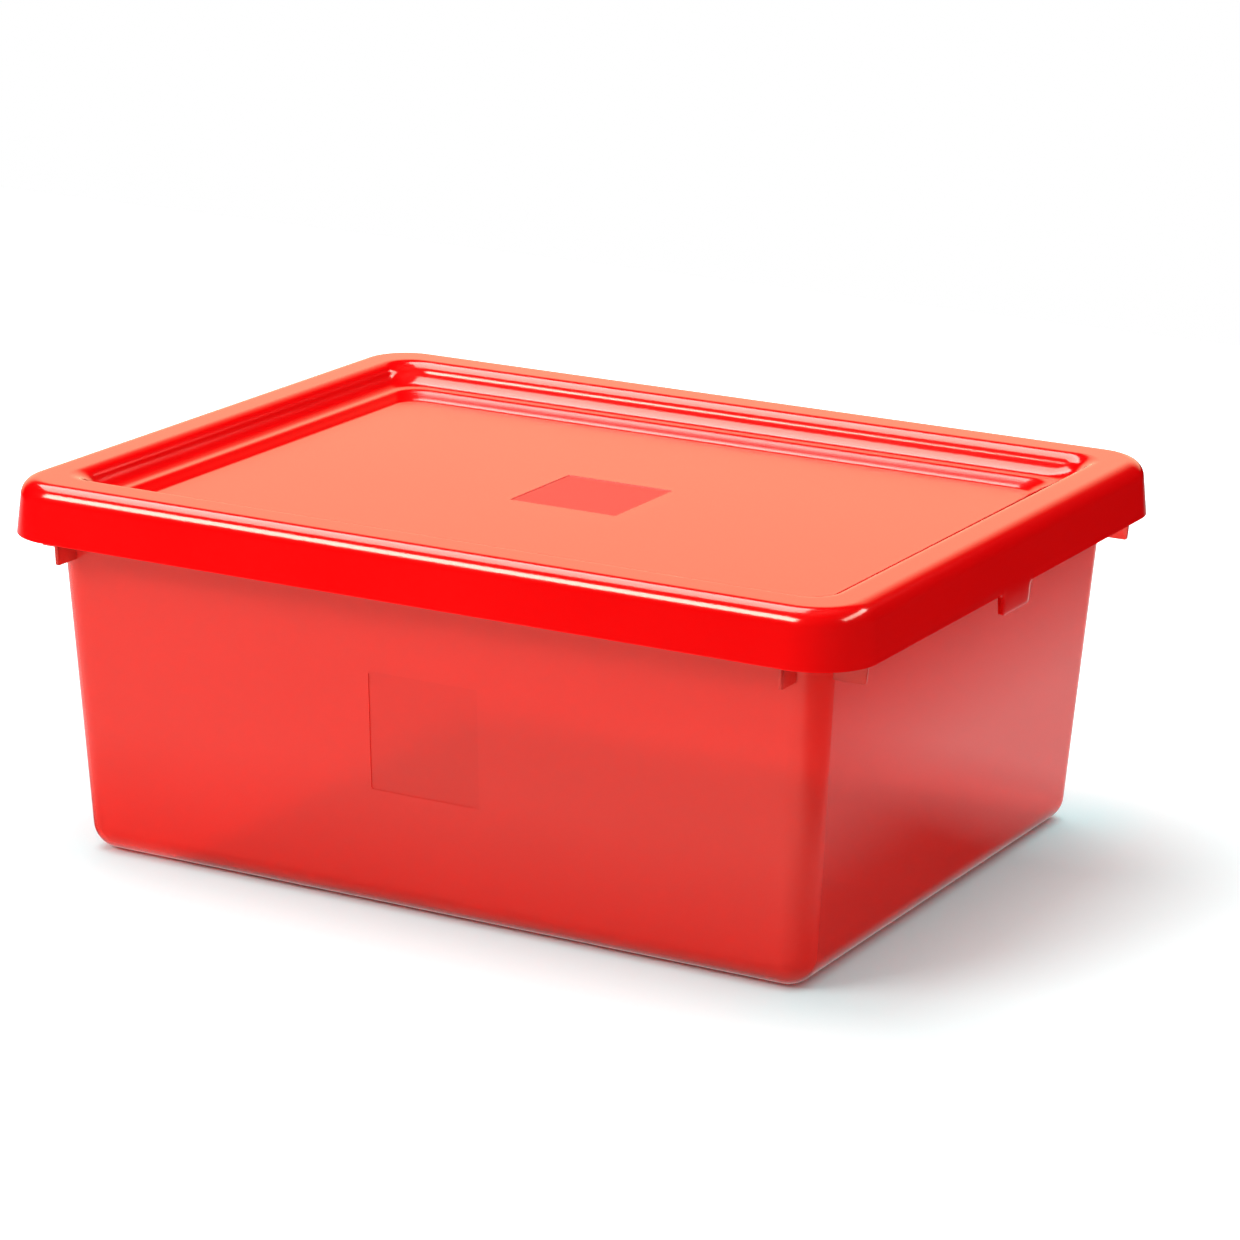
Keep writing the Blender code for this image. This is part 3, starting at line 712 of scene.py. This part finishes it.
# Near white as the camera sees it, from a glow that only the camera sees. The glow lifts the cast shadow,
# but it is weaker close to the box, painted shade, is tinted against the red light close to the box and
# stops at the line where the box stands, a painted dark contact line. Seen through the plastic the floor
# glows, but not under a patch of the tub's floor set to the right, a painted shadow. In reflections the
# floor is a painted
# reflection: painted dark beside the box, dark far behind it, and painted pale right at its foot.
def makeFloor():
    halfX, halfY = studio["floorSize"][0] / 2, studio["floorSize"][1] / 2
    corners = [(-halfX, -halfY), (halfX, -halfY), (halfX, halfY), (-halfX, halfY)]
    points = [(x, y, -studio["floorDrop"]) for x, y in corners]
    floor = addObject("studioFloor", meshFrom("studioFloor", points, [(0, 1, 2, 3)]))
    material = bpy.data.materials.new("paleFloorWithPaintedShade")
    material.use_nodes = True
    maker = TreeMaker(material.node_tree)
    material.node_tree.nodes.remove(material.node_tree.nodes["Principled BSDF"])
    path = maker.node("ShaderNodeLightPath")
    spot = maker.node("ShaderNodeTexCoord").outputs["Object"]

    def awayFrom(centre, half):
        away = maker.node("ShaderNodeVectorMath", {0: spot, 1: centre}, operation="SUBTRACT").outputs[0]
        away = maker.node("ShaderNodeVectorMath", {0: away}, operation="ABSOLUTE").outputs[0]
        away = maker.node("ShaderNodeVectorMath", {0: away, 1: half}, operation="SUBTRACT").outputs[0]
        away = maker.node("ShaderNodeVectorMath", {0: away, 1: (0, 0, 0)}, operation="MAXIMUM").outputs[0]
        return maker.node("ShaderNodeVectorMath", {0: away}, operation="LENGTH").outputs["Value"]

    def ramp(value, low, high, first, second):
        return maker.node("ShaderNodeMapRange", {0: value, 1: low, 2: high, 3: first, 4: second}).outputs[0]

    # Painted shade in reflections: the glossy glow is low by the box and rises away from it.
    shadowAway = awayFrom(*studio["shadow"])
    reflectedPaintedShade = ramp(shadowAway, *studio["shadowReach"])
    far = ramp(shadowAway, *studio["mirroredReach"], 1.0, 0.0)
    right = maker.node("ShaderNodeSeparateXYZ", {0: spot}).outputs[0]
    side = maker.calc("MULTIPLY", ramp(right, *studio["mirroredSide"]),
                      ramp(right, *studio["mirroredEnd"], 1.0, 0.0))
    lit = maker.calc("MULTIPLY", reflectedPaintedShade, maker.calc("MULTIPLY", far, side))
    # Painted shadow under the tub: no glow for rays through the plastic inside this patch.
    pastPaintedShadowUnderTub = ramp(awayFrom(*studio["paintedShadowUnderTub"]), 0.0, studio["paintedShadowUnderTubFade"], 0.0, 1.0)
    pale = maker.node("ShaderNodeBsdfDiffuse", {"Color": studio["floorColour"]})
    # Painted pale rim at the foot in reflections; camera glow tinted cyan by the foot, gone at the foot line
    # (a painted contact line) and weaker by the box (painted shade).
    footAway = awayFrom(*studio["foot"])
    foot = ramp(footAway, *studio["paintedFootRimReach"])
    paintedShadeTint = maker.blend(ramp(footAway, *studio["paintedShadeTintReach"]), studio["shadowTint"], (1, 1, 1, 1))
    paintedShadeGlow = maker.calc("MULTIPLY", ramp(shadowAway, *studio["paintedShadeGlowReach"], *studio["floorGlow"]),
                          ramp(footAway, *studio["paintedContactShadowReach"]))
    glow = maker.node("ShaderNodeEmission", {"Color": paintedShadeTint, "Strength": paintedShadeGlow})
    shine = maker.node("ShaderNodeMixShader", {0: path.outputs["Is Camera Ray"], 2: glow.outputs[0]})
    surface = maker.node("ShaderNodeAddShader", {0: pale.outputs[0], 1: shine.outputs[0]})
    # Glossy rays see this painted glow instead of the lit floor.
    mirrored = maker.calc("MAXIMUM", maker.calc("MULTIPLY", lit, studio["paintedFloorReflection"]), foot)
    seenThrough = maker.calc("MULTIPLY", pastPaintedShadowUnderTub, studio["floorSeenThrough"])
    for ray, strength in (("Is Glossy Ray", mirrored), ("Is Transmission Ray", seenThrough)):
        light = maker.node("ShaderNodeEmission", {"Strength": strength})
        surface = maker.node("ShaderNodeMixShader", {
            0: path.outputs[ray], 1: surface.outputs[0], 2: light.outputs[0]})
    maker.feed(material.node_tree.nodes["Material Output"].inputs["Surface"], surface.outputs[0])
    floor.data.materials.append(material)


# Seen by the camera and through the plastic the room is white. In reflections it is dark but for the
# backdrop.
def makeRoom():
    world = bpy.data.worlds.new("studioRoom")
    bpy.context.scene.world = world
    world.use_nodes = True
    maker = TreeMaker(world.node_tree)
    path = maker.node("ShaderNodeLightPath")
    way = maker.node("ShaderNodeTexCoord").outputs["Generated"]
    facing = maker.node("ShaderNodeVectorMath", {0: way, 1: studio["backdropDirection"]},
                        operation="DOT_PRODUCT")
    low, high = studio["backdropSide"]
    side = maker.node("ShaderNodeMapRange", {0: facing.outputs["Value"], 1: low, 2: high}).outputs[0]
    up = maker.node("ShaderNodeVectorMath", {0: way, 1: studio["backdropUp"]}, operation="DOT_PRODUCT")
    up = up.outputs["Value"]
    low, high = studio["backdropLow"]
    rise = maker.node("ShaderNodeMapRange", {0: up, 1: low, 2: high}).outputs[0]
    low, high = studio["backdropHigh"]
    fall = maker.node("ShaderNodeMapRange", {0: up, 1: low, 2: high, 3: 1.0, 4: 0.0}).outputs[0]
    panel = maker.calc("MULTIPLY", side, maker.calc("MULTIPLY", rise, fall))
    mirrored = maker.blend(panel, studio["darkRoom"], studio["backdrop"])
    colour = maker.blend(path.outputs["Is Glossy Ray"], studio["ambient"], mirrored)
    colour = maker.blend(path.outputs["Is Transmission Ray"], colour, studio["seenThrough"])
    colour = maker.blend(path.outputs["Is Camera Ray"], colour, (1, 1, 1, 1))
    maker.feed(world.node_tree.nodes["Background"].inputs["Color"], colour)


def makeLamps():
    target = Vector(studio["lampTarget"])
    for name, settings in lamps.items():
        light = bpy.data.lights.new(name, "AREA")
        light.shape = "RECTANGLE"
        light.size, light.size_y = settings["size"]
        light.energy = settings["power"]
        item = bpy.data.objects.new(name, light)
        bpy.context.scene.collection.objects.link(item)
        away = Vector(settings["from"]).normalized()
        item.location = target + away * settings["distance"]
        across = settings.get("across", away.cross((0, 0, -1)))
        across = (Vector(across) - away * away.dot(across)).normalized()
        item.rotation_euler = Matrix((across, away.cross(across), away)).transposed().to_euler()
        item.visible_camera = False
        item.visible_glossy = not settings["lights"]
        item.visible_diffuse = settings["lights"]
        item.visible_transmission = settings["lights"]


makeFloor()
makeRoom()
makeLamps()
print("studio made")


# The camera, as the photograph was taken
view = {
    "location": (0.92550, -1.68446, 0.64096), "right": (0.876964, 0.480171, 0.019244),
    "up": (-0.147086, 0.230077, 0.961993), "forward": (-0.457493, 0.846464, -0.272396),
    "lens": 134.087, "sensor": 36, "clip": (0.05, 50),
}
cameraData = bpy.data.cameras.new("photoCamera")
cameraData.lens = view["lens"]
cameraData.sensor_width = view["sensor"]
cameraData.clip_start, cameraData.clip_end = view["clip"]
camera = bpy.data.objects.new("photoCamera", cameraData)
bpy.context.scene.collection.objects.link(camera)
axes = (Vector(view["right"]), Vector(view["up"]), -Vector(view["forward"]), Vector(view["location"]))
camera.matrix_world = Matrix([[axis[row] for axis in axes] for row in range(3)] + [[0, 0, 0, 1]])
bpy.context.scene.camera = camera
bpy.context.scene.view_settings.view_transform = "Standard"
print("camera made")
